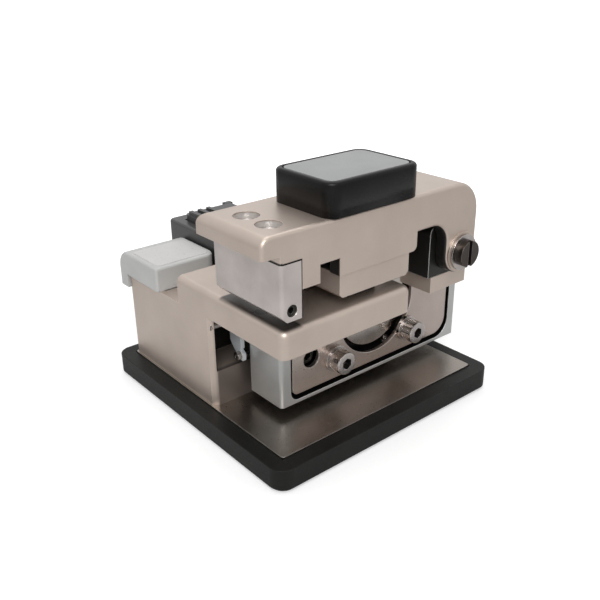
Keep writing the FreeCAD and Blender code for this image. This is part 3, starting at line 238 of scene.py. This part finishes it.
# painted shadow under the arm's front lip, a dark line at its lower edge
lip_shadow = (
    (arm_low.x - PAST, arm_low.y - PAST, jaw_high.z - 0.6 * MM),
    (arm_high.x + PAST, jaw_low.y + 0.5 * MM, jaw_high.z + 0.16 * MM),
    0.12, SHADE,
)
# painted shade in the gap between the jaw's top and the arm
jaw_top_gap_shade = (
    (jaw_low.x - PAST, jaw_low.y - PAST, jaw_high.z - 0.22 * MM),
    (jaw_high.x + PAST, jaw_high.y + PAST, jaw_high.z + PAST),
    0.10, SHADE,
)
# painted shade in the gap at the jaw's back
jaw_back_gap_shade = (
    (jaw_high.x - 0.5 * MM, jaw_high.y - 0.16 * MM, jaw_low.z - PAST),
    (jaw_high.x + PAST, jaw_high.y + PAST, jaw_high.z + PAST),
    0.10, SHADE,
)
# the contact shade on the deck under the jaw
under_jaw = (
    (jaw_low.x - 0.2 * MM, jaw_low.y + 0.1 * MM, jaw_low.z - 2 * MM),
    (jaw_high.x + 0.1 * MM, jaw_high.y + 0.1 * MM, jaw_low.z + 0.5 * MM),
    0.6, BROWN_SHADE,
)
# the shade on the wall under the deck
under_deck = (
    (rail_low.x - 0.6 * MM, body_low.y + 1.6 * MM, body_low.z - PAST),
    (rail_low.x + 0.2 * MM, body_high.y + PAST, rail_high.z + 7 * MM),
    0.9, DECK_SHADE,
)
# a painted highlight on the walls of the jaw screws' counterbores
counterbores = (
    (jaw_screw_low.x - 0.6 * MM, jaw_screw_low.y - 0.6 * MM, jaw_screw_high.z - 3 * MM),
    (jaw_screw_high.x + 0.6 * MM, jaw_screw_high.y + 0.6 * MM, jaw_screw_high.z + 1.0 * MM),
    0.05, COUNTERBORE_HIGHLIGHT,
)
# painted shade inside the trip lever's window
lever_window_shade = (
    (rail_low.x - 9.5 * MM, body_low.y + 0.9 * MM, body_low.z + 9.0 * MM),
    (rail_low.x - 0.5 * MM, body_low.y + 14 * MM, body_low.z + 19.5 * MM),
    0.1, SHADE,
)

body_champagne = champagne("body_champagne", (under_deck, lever_window_shade, under_jaw))
arm_champagne = champagne("arm_champagne", (arm_hollow_shade, lip_shadow, counterbores))
carrier_champagne = champagne("carrier_champagne")
jaw_silver = machined(
    "jaw_silver", (0.47, 0.425, 0.405), (0.57, 0.520, 0.495), (0.85, 0.80, 0.77), 0.90, 0.34, 0.6, 0.01,
    edge_mm=0.25, shaded=(jaw_top_gap_shade, jaw_back_gap_shade), drift_mm=6.0,
)
# the pale edge colour is a painted highlight round the plate's window
champagne_plate = machined(
    "champagne_plate", (0.44, 0.370, 0.335), (0.52, 0.450, 0.410), (0.86, 0.80, 0.76), 0.92, 0.30, 0.4, 0.02,
    edge_mm=0.20, drift_mm=12.0,
)
slider_grey = machined(
    "slider_grey", (0.46, 0.465, 0.455), (0.52, 0.525, 0.515), (0.85, 0.85, 0.84), 0.70, 0.36, 0.3, 0.04,
    edge_mm=0.25, shaded=(slider_pocket_shade,),
)
dark_plate = machined(
    "dark_plate", (0.30, 0.265, 0.235), (0.36, 0.325, 0.295), (0.50, 0.47, 0.45), 1.0, 0.30, 0.5, 0.02,
    drift_mm=18.0,
)
base_rubber = machined(
    "base_rubber", (0.0045, 0.0045, 0.004), (0.0085, 0.0085, 0.0075), (0.014, 0.014, 0.013), 0.0, 0.48, 0.5,
    0.10, edge_mm=0.35, gloss=0.22, depth_mm=0.008,
)
clamp_rubber = machined(
    "clamp_rubber", (0.010, 0.010, 0.010), (0.016, 0.016, 0.016), (0.03, 0.03, 0.03), 0.0, 0.6, 0.4, 0.10,
    gloss=0.25, depth_mm=0.01,
)
turned_steel = machined(
    "turned_steel", (0.37, 0.340, 0.325), (0.48, 0.445, 0.425), (0.86, 0.83, 0.81), 1.0, 0.22, 0.2, 0.02,
    edge_mm=0.10, drift_mm=3.0,
)
# a lighter copy of the turned steel, painted light for the jaw screws, whose heads sit in the shade of the
# counterbores
lit_steel = machined(
    "lit_steel", (0.62, 0.59, 0.57), (0.72, 0.69, 0.67), (0.90, 0.88, 0.86), 1.0, 0.22, 0.2, 0.02,
    edge_mm=0.12, drift_mm=3.0,
)
ground_steel = machined(
    "ground_steel", (0.36, 0.325, 0.300), (0.46, 0.420, 0.390), (0.85, 0.83, 0.81), 1.0, 0.20, 0.2, 0.015,
    edge_mm=0.10, drift_mm=4.0,
)
black_oxide = machined(
    "black_oxide", (0.016, 0.016, 0.014), (0.028, 0.028, 0.024), (0.16, 0.16, 0.15), 0.55, 0.34, 0.3, 0.03,
    edge_mm=0.1, gloss=0.35,
)
# painted shade in the hex sockets of the cap screws
socket_shade = machined(
    "socket_shade", (0.07, 0.063, 0.058), (0.12, 0.11, 0.10), (0.50, 0.48, 0.46), 0.9, 0.30, 0.2, 0.02,
    edge_mm=0.08,
)
# the pale edge colour is a painted highlight on the post's upright edges
post_black = machined(
    "post_black", (0.018, 0.018, 0.016), (0.030, 0.030, 0.026), (0.62, 0.61, 0.59), 0.55, 0.34, 0.3, 0.03,
    edge_mm=0.30, gloss=0.35,
)
bronze_black = machined(
    "bronze_black", (0.048, 0.040, 0.036), (0.075, 0.064, 0.057), (0.26, 0.23, 0.21), 0.9, 0.30, 0.25, 0.03,
    edge_mm=0.12, gloss=0.4,
)
moulded_black = machined(
    "moulded_black", (0.022, 0.022, 0.022), (0.032, 0.032, 0.032), (0.09, 0.09, 0.09), 0.0, 0.34, 0.25, 0.05,
    gloss=0.7,
)
grip_black = machined(
    "grip_black", (0.003, 0.003, 0.003), (0.006, 0.006, 0.006), (0.009, 0.009, 0.009), 0.0, 0.30, 0.3, 0.02,
    edge_mm=0.10, gloss=0.18,
)
grey_film = machined(
    "grey_film", (0.255, 0.26, 0.26), (0.29, 0.295, 0.295), (0.42, 0.43, 0.43), 0.15, 0.32, 0.4, 0.01,
    edge_mm=0.05, drift_mm=6.0,
)
cover_grey = machined(
    "cover_grey", (0.46, 0.46, 0.45), (0.51, 0.51, 0.50), (0.62, 0.62, 0.61), 0.0, 0.38, 0.4, 0.03,
    edge_mm=0.25, gloss=0.4,
)
bare_label = machined(
    "bare_label", (0.53, 0.52, 0.515), (0.57, 0.56, 0.555), (0.66, 0.66, 0.66), 0.0, 0.30, 0.6, 0.01,
    edge_mm=0.05, gloss=0.4, drift_mm=6.0,
)
lever_white = machined(
    "lever_white", (0.60, 0.63, 0.66), (0.70, 0.73, 0.75), (0.85, 0.86, 0.87), 0.3, 0.32, 0.3, 0.02,
    edge_mm=0.1,
)

FINISHES = {
    body_champagne: ("main_body",),
    arm_champagne: ("arm_body",),
    jaw_silver: ("jaw_block",),
    carrier_champagne: ("clamp_carrier",),
    champagne_plate: ("blade_plate",),
    slider_grey: ("slider_frame",),
    dark_plate: ("base_plate",),
    base_rubber: ("rubber_base",),
    clamp_rubber: ("lower_pads", "upper_pads", "feed_roller"),
    turned_steel: (
        "base_screws", "slide_rail", "rail_screws", "lid_pin", "lever_pin", "post_screws",
        "pin_washer", "pin_retainer", "arm_magnet", "carrier_screws", "anvil", "rail_carriage",
        "carriage_screws", "blade_washers", "blade_hub", "hub_screw", "pinch_roller", "lever_screw",
    ),
    ground_steel: ("blade_wheel",),
    black_oxide: ("hinge_bushes", "jaw_set_screw", "keeper_plate"),
    post_black: ("hinge_post",),
    bronze_black: ("hinge_pin",),
    moulded_black: ("collector_housing", "collector_lid"),
    cover_grey: ("offcut_bin",),
    lever_white: ("trip_lever",),
}

for finish, names in FINISHES.items():
    for name in names:
        cad_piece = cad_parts[name]
        cad_piece.data.materials.clear()
        cad_piece.data.materials.append(finish)


# ---------------------------------------------------------------- modelling
TO_RIGHT = Matrix.Rotation(math.radians(90), 4, "Y")
TINY = 1e-7
# the second material of a cap screw, painted shade in its hex socket
SOCKET = 1


def keep_piece(name, bm, finish, body, slot, *replaced):
    """Closes a mesh, gives it its finish and lets it ride on a body in place of CAD nodes."""
    bmesh.ops.remove_doubles(bm, verts=bm.verts, dist=TINY)
    bmesh.ops.recalc_face_normals(bm, faces=bm.faces)
    mesh = bpy.data.meshes.new(name)
    bm.to_mesh(mesh)
    bm.free()
    piece = bpy.data.objects.new(name, mesh)
    bpy.context.scene.collection.objects.link(piece)
    piece.data.materials.append(finish)
    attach(piece, body)
    if replaced:
        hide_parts(*replaced)
    return piece


def top_face(bm):
    """The highest face, and the largest of those."""
    return max(bm.faces, key=lambda face: (face.calc_center_median().z, face.calc_area()))


def rim_edges(bm, level):
    """The edges that lie on a level."""
    return [edge for edge in bm.edges if all(abs(v.co.z - level) < TINY for v in edge.verts)]


def bevel(bm, edges, width, steps):
    """Rounds edges, or chamfers them where there is one step."""
    bmesh.ops.bevel(
        bm, geom=edges, affect="EDGES", offset=width, segments=steps, profile=0.5, material=-1,
        offset_type="OFFSET",
    )


def hexagon_reach(angle, across):
    """How far a hexagon's side is from its middle in a direction."""
    sixth = math.radians(60)
    return across / 2 / math.cos((angle % sixth) - sixth / 2)


def sink_socket(bm, across, draft, depth):
    """A hex socket in the middle of the top face; gives back its faces."""
    top = top_face(bm)
    round_reach = 0.62 * across
    bmesh.ops.inset_individual(
        bm, faces=[top], thickness=top.verts[0].co.xy.length - round_reach, depth=0, use_even_offset=True
    )
    for vert in top.verts:
        angle = math.atan2(vert.co.y, vert.co.x)
        reach = hexagon_reach(angle, across)
        vert.co.x, vert.co.y = reach * math.cos(angle), reach * math.sin(angle)
    walls = bmesh.ops.inset_individual(bm, faces=[top], thickness=draft, depth=-depth)["faces"]
    return [top, *walls]


def cap_screw(bm, radius, length, shank_radius, shank_length, across, ridges, place):
    """A cap screw on its seat: chamfered head with a knurled side and a hex socket, and its shank below."""
    chamfer = 0.12 * radius
    knurl_low = 0.18 * length
    knurl_high = 0.90 * length - 0.16 * radius
    knurl_margin = 0.01 * length
    made = bmesh.ops.create_cone(
        bm, cap_ends=True, cap_tris=False, segments=ridges * 2, radius1=radius, radius2=radius, depth=length,
        matrix=Matrix.Translation((0, 0, length / 2)),
    )
    head_verts = made["verts"]
    top_edges = [
        edge for edge in bm.edges
        if all(v in head_verts and v.co.z > length - TINY for v in edge.verts)
    ]
    bmesh.ops.bevel(
        bm, geom=top_edges, affect="EDGES", offset=chamfer, segments=2, profile=0.5, material=-1,
        offset_type="OFFSET", clamp_overlap=True,
    )
    for level in (knurl_low, knurl_high):
        parts = bm.verts[:] + bm.edges[:] + bm.faces[:]
        bmesh.ops.bisect_plane(bm, geom=parts, dist=1e-8, plane_co=(0, 0, level), plane_no=(0, 0, 1))
    knurled = []
    for face in bm.faces:
        middle = face.calc_center_median()
        between = knurl_low + knurl_margin < middle.z < knurl_high - knurl_margin
        if abs(face.normal.z) < 0.1 and between:
            turn = math.atan2(middle.y, middle.x) / math.radians(360) * ridges * 2
            if round(turn - 0.5) % 2 == 0:
                knurled.append(face)
    bmesh.ops.inset_individual(
        bm, faces=knurled, thickness=0.012 * radius, depth=-0.05 * radius, use_even_offset=True
    )
    for face in sink_socket(bm, across, 0.01 * radius, 0.55 * length):
        face.material_index = SOCKET
    bmesh.ops.create_cone(
        bm, cap_ends=True, cap_tris=False, segments=32, radius1=shank_radius, radius2=shank_radius,
        depth=shank_length, matrix=Matrix.Translation((0, 0, -shank_length / 2)),
    )
    bmesh.ops.transform(bm, matrix=place, verts=bm.verts)


def add_screw(pair, *screw):
    """Adds one cap screw to the mesh of its pair."""
    bm = bmesh.new()
    cap_screw(bm, *screw)
    mesh = bpy.data.meshes.new("screw")
    bm.to_mesh(mesh)
    bm.free()
    pair.from_mesh(mesh)
    bpy.data.meshes.remove(mesh)


def rounded_slab(bm, low, high, corner, corner_steps):
    """A block between two corners with its four upright edges rounded."""
    low, high = Vector(low), Vector(high)
    size = high - low
    place = Matrix.Translation((low + high) / 2) @ Matrix.Diagonal((*size, 1))
    bmesh.ops.create_cube(bm, size=1.0, matrix=place)
    upright = [
        edge for edge in bm.edges
        if abs(edge.verts[0].co.z - edge.verts[1].co.z) > 0.9 * size.z
    ]
    bevel(bm, upright, corner, corner_steps)


# ---------------------------------------------------------------- screws
def make_blade_screws():
    """Two knurled screws that hold the blade plate on the slider."""
    low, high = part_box("blade_screws")
    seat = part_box("blade_washers")[1].x
    radius = (high.z - low.z) / 2
    middle = (high.z + low.z) / 2
    shank_radius = 1.2 * MM
    across = 2.5 * MM
    pair = bmesh.new()
    for y in (low.y + radius, high.y - radius):
        place = Matrix.Translation((seat, y, middle)) @ TO_RIGHT
        add_screw(pair, radius, high.x - seat, shank_radius, seat - low.x, across, 33, place)
    screws = keep_piece("blade_cap_screws", pair, turned_steel, "slider", "steel", "blade_screws")
    screws.data.materials.append(socket_shade)


def make_jaw_screws():
    """Two cap screws deep in the arm's counterbores."""
    low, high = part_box("jaw_screws")
    radius = 2.4 * MM
    head = 2.4 * MM
    shank_radius = 1.2 * MM
    across = 2.0 * MM
    seat = high.z - head
    middle = (low.y + high.y) / 2
    pair = bmesh.new()
    for x in (low.x + radius, high.x - radius):
        place = Matrix.Translation((x, middle, seat))
        add_screw(pair, radius, head, shank_radius, seat - low.z, across, 30, place)
    screws = keep_piece("jaw_cap_screws", pair, lit_steel, "arm", "steel", "jaw_screws")
    screws.data.materials.append(socket_shade)


def make_height_screw():
    """The set screw that sets the blade's height, sunk a little in the blade plate."""
    low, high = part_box("height_adjuster")
    radius = (high.z - low.z) / 2
    sunk = 1.3 * MM
    chamfer = 0.22 * MM
    across = 2.0 * MM
    socket_draft = 0.02 * MM
    socket_depth = 1.6 * MM
    length = high.x - sunk - low.x
    bm = bmesh.new()
    bmesh.ops.create_cone(
        bm, cap_ends=True, cap_tris=False, segments=48, radius1=radius, radius2=radius, depth=length,
        matrix=Matrix.Translation((0, 0, length / 2)),
    )
    bevel(bm, rim_edges(bm, length), chamfer, 1)
    sink_socket(bm, across, socket_draft, socket_depth)
    place = Matrix.Translation((low.x, (low.y + high.y) / 2, (low.z + high.z) / 2)) @ TO_RIGHT
    bmesh.ops.transform(bm, matrix=place, verts=bm.verts)
    keep_piece("height_set_screw", bm, black_oxide, "slider", "black_metal", "height_adjuster")


# ---------------------------------------------------------------- push pad
def make_push_pad():
    """The thumb pad on the arm: a black moulding with a rounded rim, a thin groove and a grey film."""
    low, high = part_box("push_pad")
    corner = 3.0 * MM
    rim = 0.75 * MM
    flat = 0.42 * MM
    groove = 0.28 * MM
    groove_depth = 0.5 * MM
    groove_draft = 0.02 * MM
    bm = bmesh.new()
    rounded_slab(bm, low, high, corner, 8)
    bevel(bm, rim_edges(bm, high.z), rim, 4)
    top = top_face(bm)
    bmesh.ops.inset_individual(bm, faces=[top], thickness=flat, depth=0, use_even_offset=True)
    bmesh.ops.inset_individual(
        bm, faces=[top], thickness=groove_draft, depth=-groove_depth, use_even_offset=True
    )
    for face in bm.faces:
        if abs(face.normal.z) < 0.99:
            face.smooth = True
    keep_piece("push_pad_moulding", bm, grip_black, "arm", "black_plastic", "push_pad")

    inset = rim + flat + groove
    film_foot = 0.55 * MM
    film_sunk = 0.02 * MM
    film_chamfer = 0.06 * MM
    film_low = (low.x + inset, low.y + inset, high.z - film_foot)
    film_high = (high.x - inset, high.y - inset, high.z - film_sunk)
    bm = bmesh.new()
    rounded_slab(bm, film_low, film_high, corner - inset * 0.7, 6)
    bevel(bm, rim_edges(bm, film_high[2]), film_chamfer, 1)
    keep_piece("pad_film", bm, grey_film, "arm", "inlay_grey", "pad_inlay")


# ---------------------------------------------------------------- off-cut bin
def make_bin():
    """The off-cut bin with its cap. Its finger grip ends higher than the CAD node's."""
    grip_depth = 13.0 * MM
    grip_raised = 3.5 * MM
    grip_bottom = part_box("offcut_bin")[1].z - grip_depth
    grip_right = body_low.x + 1 * MM
    bm = bmesh.new()
    bm.from_mesh(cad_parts["offcut_bin"].data)
    bmesh.ops.remove_doubles(bm, verts=bm.verts, dist=1e-6)
    lower_rim = [v for v in bm.verts if abs(v.co.z - grip_bottom) < 1e-5 and v.co.x < grip_right]
    bmesh.ops.translate(bm, verts=lower_rim, vec=(0, 0, grip_raised))
    keep_piece("bin_cover", bm, cover_grey, "bin", "cover_grey", "offcut_bin")


def make_bin_label():
    """A bare label on the bin's top, with rounded corners."""
    low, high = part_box("bin_label")
    corner = 1.2 * MM
    chamfer = 0.04 * MM
    bm = bmesh.new()
    rounded_slab(bm, low, high, corner, 5)
    bevel(bm, rim_edges(bm, high.z), chamfer, 1)
    keep_piece("bare_label_film", bm, bare_label, "bin", "label", "bin_label")


make_blade_screws()
make_jaw_screws()
make_height_screw()
make_push_pad()
make_bin()
make_bin_label()


# ---------------------------------------------------------------- studio
# how bright the sky is at the horizon and overhead, as light and in reflections
SKY_LIGHT = (0.20, 0.65)
SKY_SHINE = (0.80, 1.00)
# how much the floor near the base is lifted towards white for the eye
NEAR_GLOW = 0.38
# how far from the middle the floor starts and ends turning white
GLOW_START = 70 * MM
GLOW_END = 260 * MM
FLOOR_COLOUR = (0.74, 0.74, 0.74)
# the camera's turn, tilt and roll in degrees, its place in mm and its focal length
CAMERA_TURN, CAMERA_TILT, CAMERA_ROLL = 50.555, 24.386, -0.724
CAMERA_PLACE = (132.71, -108.56, 100.0)
CAMERA_LENS = 45.1
# each light's name, place, size in metres and power in watts
LIGHTS = (
    ("key", (0.29, -0.26, 0.36), 0.28, 1.5),
    ("top", (-0.10, 0.10, 0.55), 0.45, 0.9),
)
LIT_POINT = (0, 0, 0.03)


def studio_floor():
    """A pale floor that keeps a soft shadow near the base and turns plain white further out."""
    bm = bmesh.new()
    bmesh.ops.create_grid(bm, x_segments=1, y_segments=1, size=3.0)
    mesh = bpy.data.meshes.new("floor")
    bm.to_mesh(mesh)
    bm.free()
    floor = bpy.data.objects.new("floor", mesh)
    bpy.context.scene.collection.objects.link(floor)
    finish, nodes, links, shader, place = node_graph("pale_floor")
    shader.inputs["Base Color"].default_value = (*FLOOR_COLOUR, 1)
    shader.inputs["Roughness"].default_value = 0.9
    shader.inputs["Specular IOR Level"].default_value = 0.2
    glow = nodes.new("ShaderNodeEmission")
    light_path = nodes.new("ShaderNodeLightPath")
    away = nodes.new("ShaderNodeVectorMath")
    away.operation = "LENGTH"
    links.new(place, away.inputs[0])
    fade = nodes.new("ShaderNodeMapRange")
    fade.inputs["From Min"].default_value = GLOW_START
    fade.inputs["From Max"].default_value = GLOW_END
    fade.inputs["To Min"].default_value = NEAR_GLOW
    fade.inputs["To Max"].default_value = 1.0
    links.new(away.outputs["Value"], fade.inputs["Value"])
    level = nodes.new("ShaderNodeMath")
    level.operation = "MULTIPLY"
    links.new(light_path.outputs["Is Camera Ray"], level.inputs[0])
    links.new(fade.outputs["Result"], level.inputs[1])
    links.new(level.outputs["Value"], glow.inputs["Strength"])
    both = nodes.new("ShaderNodeAddShader")
    links.new(shader.outputs["BSDF"], both.inputs[0])
    links.new(glow.outputs["Emission"], both.inputs[1])
    links.new(both.outputs["Shader"], nodes["Material Output"].inputs["Surface"])
    floor.data.materials.append(finish)


def studio_world():
    """White to the eye and in reflections; as light, softly brighter overhead than at the horizon."""
    world = bpy.data.worlds.new("studio")
    bpy.context.scene.world = world
    world.use_nodes = True
    nodes, links = world.node_tree.nodes, world.node_tree.links
    back = nodes["Background"]
    back.inputs["Color"].default_value = (1, 1, 1, 1)
    place = nodes.new("ShaderNodeTexCoord")
    split = nodes.new("ShaderNodeSeparateXYZ")
    links.new(place.outputs["Generated"], split.inputs["Vector"])
    light_path = nodes.new("ShaderNodeLightPath")
    levels = []
    for horizon, overhead in (SKY_LIGHT, SKY_SHINE):
        height = nodes.new("ShaderNodeMapRange")
        height.inputs["To Min"].default_value = horizon
        height.inputs["To Max"].default_value = overhead
        links.new(split.outputs["Z"], height.inputs["Value"])
        levels.append(height.outputs["Result"])
    light = nodes.new("ShaderNodeMix")
    links.new(light_path.outputs["Is Glossy Ray"], light.inputs["Factor"])
    links.new(levels[0], light.inputs["A"])
    links.new(levels[1], light.inputs["B"])
    seen = nodes.new("ShaderNodeMath")
    seen.operation = "MAXIMUM"
    links.new(light_path.outputs["Is Camera Ray"], seen.inputs[0])
    links.new(light_path.outputs["Is Transmission Ray"], seen.inputs[1])
    strength = nodes.new("ShaderNodeMath")
    strength.operation = "MAXIMUM"
    links.new(seen.outputs["Value"], strength.inputs[0])
    links.new(light.outputs["Result"], strength.inputs[1])
    links.new(strength.outputs["Value"], back.inputs["Strength"])


def soft_box(name, place, aim, size, power):
    """A large area light aimed at a point."""
    light = bpy.data.lights.new(name, "AREA")
    light.shape = "SQUARE"
    light.size = size
    light.energy = power
    lamp = bpy.data.objects.new(name, light)
    lamp.location = place
    lamp.rotation_euler = (Vector(aim) - Vector(place)).to_track_quat("-Z", "Y").to_euler()
    bpy.context.scene.collection.objects.link(lamp)


def studio_camera():
    """The camera stands to the right of the front and looks down on the tool."""
    turn, tilt, roll = (math.radians(a) for a in (CAMERA_TURN, CAMERA_TILT, CAMERA_ROLL))
    back = Vector((math.sin(turn) * math.cos(tilt), -math.cos(turn) * math.cos(tilt), math.sin(tilt)))
    level_right = Vector((math.cos(turn), math.sin(turn), 0))
    level_up = level_right.cross(-back)
    right = level_right * math.cos(roll) + level_up * math.sin(roll)
    up = level_up * math.cos(roll) - level_right * math.sin(roll)
    lens = bpy.data.cameras.new("camera")
    lens.sensor_width = 36.0
    lens.lens = CAMERA_LENS
    lens.clip_start = 0.001
    camera = bpy.data.objects.new("camera", lens)
    turned = Matrix((right, up, back)).transposed().to_4x4()
    camera.matrix_world = Matrix.Translation(Vector(CAMERA_PLACE) * MM) @ turned
    bpy.context.scene.collection.objects.link(camera)
    bpy.context.scene.camera = camera


studio_floor()
studio_world()
for name, place, size, power in LIGHTS:
    soft_box(name, place, LIT_POINT, size, power)
studio_camera()

bpy.context.scene.view_settings.view_transform = "Standard"
